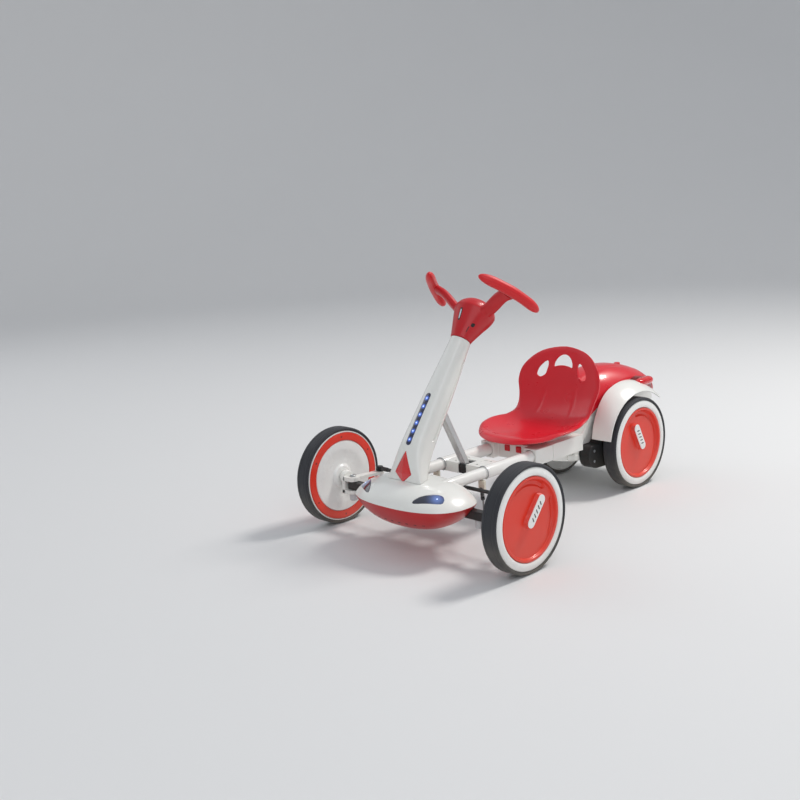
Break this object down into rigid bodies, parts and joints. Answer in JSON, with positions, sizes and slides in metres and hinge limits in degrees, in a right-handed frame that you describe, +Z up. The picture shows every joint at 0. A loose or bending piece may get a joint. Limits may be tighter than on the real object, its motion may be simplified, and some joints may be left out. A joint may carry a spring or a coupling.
{
  "type": "ride-on go kart",
  "caption": "Child's low ride-on go kart: round front pod with tilted steering column, open yoke, moulded bucket seat, closed rear drive under a hood, disc wheels, extending rail frame.",
  "frame": {"origin": "centre of the bounding box in plan, on the ground under the wheels", "axes": "+Z up, the kart drives towards -Y, +X is the rider's left"},
  "size_m": [0.5634, 0.8901, 0.5454],
  "materials": {
    "tyre": "matte dark rubber",
    "white_gloss": "warm glossy white moulding",
    "disc_orange_red": "glossy orange red",
    "smoked_lens": "smoked clear lens",
    "blue_lens": "dark blue clear lens",
    "red_lens": "red clear lens",
    "black_steel": "black satin",
    "black_plastic": "black, fine grained",
    "zinc_steel": "zinc plated",
    "brace_aluminium": "satin extrusion",
    "white_painted_tube": "glossy white",
    "grip_red": "soft red moulding",
    "red_gloss": "glossy deep red",
    "cream_plastic": "cream"
  },
  "bodies": {
    "front_frame": {"front_axle_bar": "black_steel", "front_left_kingpin": "zinc_steel", "front_right_kingpin": "zinc_steel", "front_rail_left": "white_painted_tube", "rear_rail_left": "white_painted_tube", "front_rail_right": "white_painted_tube", "rear_rail_right": "white_painted_tube", "front_bracket": "black_steel", "pod_upper_cover": "white_gloss", "headlight_lens_left": "smoked_lens", "headlight_lens_right": "smoked_lens", "pod_lower_cover": "red_gloss", "column_front_shell": "white_gloss", "column_rear_shell": "white_gloss", "led_strip_lens": "blue_lens", "column_reflector": "red_lens", "support_strut": "brace_aluminium", "mid_bracket": "white_gloss", "frame_stay_left": "cream_plastic", "frame_stay_right": "cream_plastic"},
    "steering_column": {"steering_shaft": "zinc_steel", "steering_head": "red_gloss", "grip_left": "grip_red", "grip_right": "grip_red"},
    "knuckle_left": {"front_left_knuckle": "white_gloss"},
    "knuckle_right": {"front_right_knuckle": "white_gloss"},
    "tie_rod": {"tie_rod": "black_steel"},
    "front_left_wheel": {"front_left_wheel_tyre": "tyre", "front_left_wheel_rim": "white_gloss", "front_left_wheel_inner_ring": "disc_orange_red", "front_left_wheel_cover_disc": "disc_orange_red", "front_left_wheel_badge": "white_gloss"},
    "front_right_wheel": {"front_right_wheel_tyre": "tyre", "front_right_wheel_rim": "white_gloss", "front_right_wheel_inner_ring": "disc_orange_red", "front_right_wheel_cover_disc": "disc_orange_red", "front_right_wheel_badge": "white_gloss"},
    "rear_unit": {"rear_bracket": "white_gloss", "seat_shell": "red_gloss", "rear_body": "white_gloss", "battery_pack": "black_plastic", "drive_unit_left": "black_plastic", "drive_unit_right": "black_plastic", "rear_axle": "zinc_steel", "rear_hood": "red_gloss", "fender_left": "white_gloss", "fender_right": "white_gloss", "tail_light_left": "red_lens", "tail_light_right": "red_lens"},
    "rear_left_wheel": {"rear_left_wheel_tyre": "tyre", "rear_left_wheel_rim": "white_gloss", "rear_left_wheel_cover_disc": "disc_orange_red", "rear_left_wheel_badge": "white_gloss"},
    "rear_right_wheel": {"rear_right_wheel_tyre": "tyre", "rear_right_wheel_rim": "white_gloss", "rear_right_wheel_cover_disc": "disc_orange_red", "rear_right_wheel_badge": "white_gloss"},
    "release_button_left": {"release_button_left": "red_gloss"},
    "release_button_right": {"release_button_right": "red_gloss"},
    "hood_button": {"hood_button": "red_gloss"}
  },
  "joints": [
    {"name": "steering", "type": "hinge", "parent": "front_frame", "child": "steering_column", "pos_m": [0, -0.2045, 0.4043], "axis": [0, 0.6046, 0.7965], "range_deg": [-35, 35]},
    {"name": "kingpin_left", "type": "hinge", "parent": "front_frame", "child": "knuckle_left", "pos_m": [0.214, -0.3332, 0.09], "axis": [0, 0, 1], "range_deg": [-22.5, 22.5]},
    {"name": "kingpin_right", "type": "hinge", "parent": "front_frame", "child": "knuckle_right", "pos_m": [-0.214, -0.3332, 0.09], "axis": [0, 0, 1], "range_deg": [-22.5, 22.5]},
    {"name": "tie_rod_travel", "type": "slide", "parent": "front_frame", "child": "tie_rod", "axis": [1, 0, 0], "range_m": [-0.027, 0.027]},
    {"name": "front_left_wheel_spin", "type": "hinge", "parent": "knuckle_left", "child": "front_left_wheel", "pos_m": [0.2605, -0.3332, 0.106], "axis": [1, 0, 0], "continuous": true},
    {"name": "front_right_wheel_spin", "type": "hinge", "parent": "knuckle_right", "child": "front_right_wheel", "pos_m": [-0.2605, -0.3332, 0.106], "axis": [1, 0, 0], "continuous": true},
    {"name": "rear_left_wheel_spin", "type": "hinge", "parent": "rear_unit", "child": "rear_left_wheel", "pos_m": [0.11, 0.2648, 0.106], "axis": [1, 0, 0], "continuous": true},
    {"name": "rear_right_wheel_spin", "type": "hinge", "parent": "rear_unit", "child": "rear_right_wheel", "pos_m": [-0.11, 0.2648, 0.106], "axis": [1, 0, 0], "continuous": true},
    {"name": "frame_length", "type": "slide", "parent": "front_frame", "child": "rear_unit", "axis": [0, 1, 0], "range_m": [-0.038, 0.06]},
    {"name": "release_press_left", "type": "slide", "parent": "rear_unit", "child": "release_button_left", "axis": [0, 1, 0], "range_m": [0, 0.002], "stiffness_N_per_m": 400, "springref_m": -0.001},
    {"name": "release_press_right", "type": "slide", "parent": "rear_unit", "child": "release_button_right", "axis": [0, 1, 0], "range_m": [0, 0.002], "stiffness_N_per_m": 400, "springref_m": -0.001},
    {"name": "hood_button_press", "type": "slide", "parent": "rear_unit", "child": "hood_button", "axis": [0, 0, -1], "range_m": [0, 0.0015], "stiffness_N_per_m": 400, "springref_m": -0.001}
  ],
  "couplings": [
    {"joint": "kingpin_left", "follows": "steering", "ratio": 0.63},
    {"joint": "kingpin_right", "follows": "steering", "ratio": 0.63},
    {"joint": "tie_rod_travel", "follows": "steering", "m_per_rad": -0.04284}
  ]
}
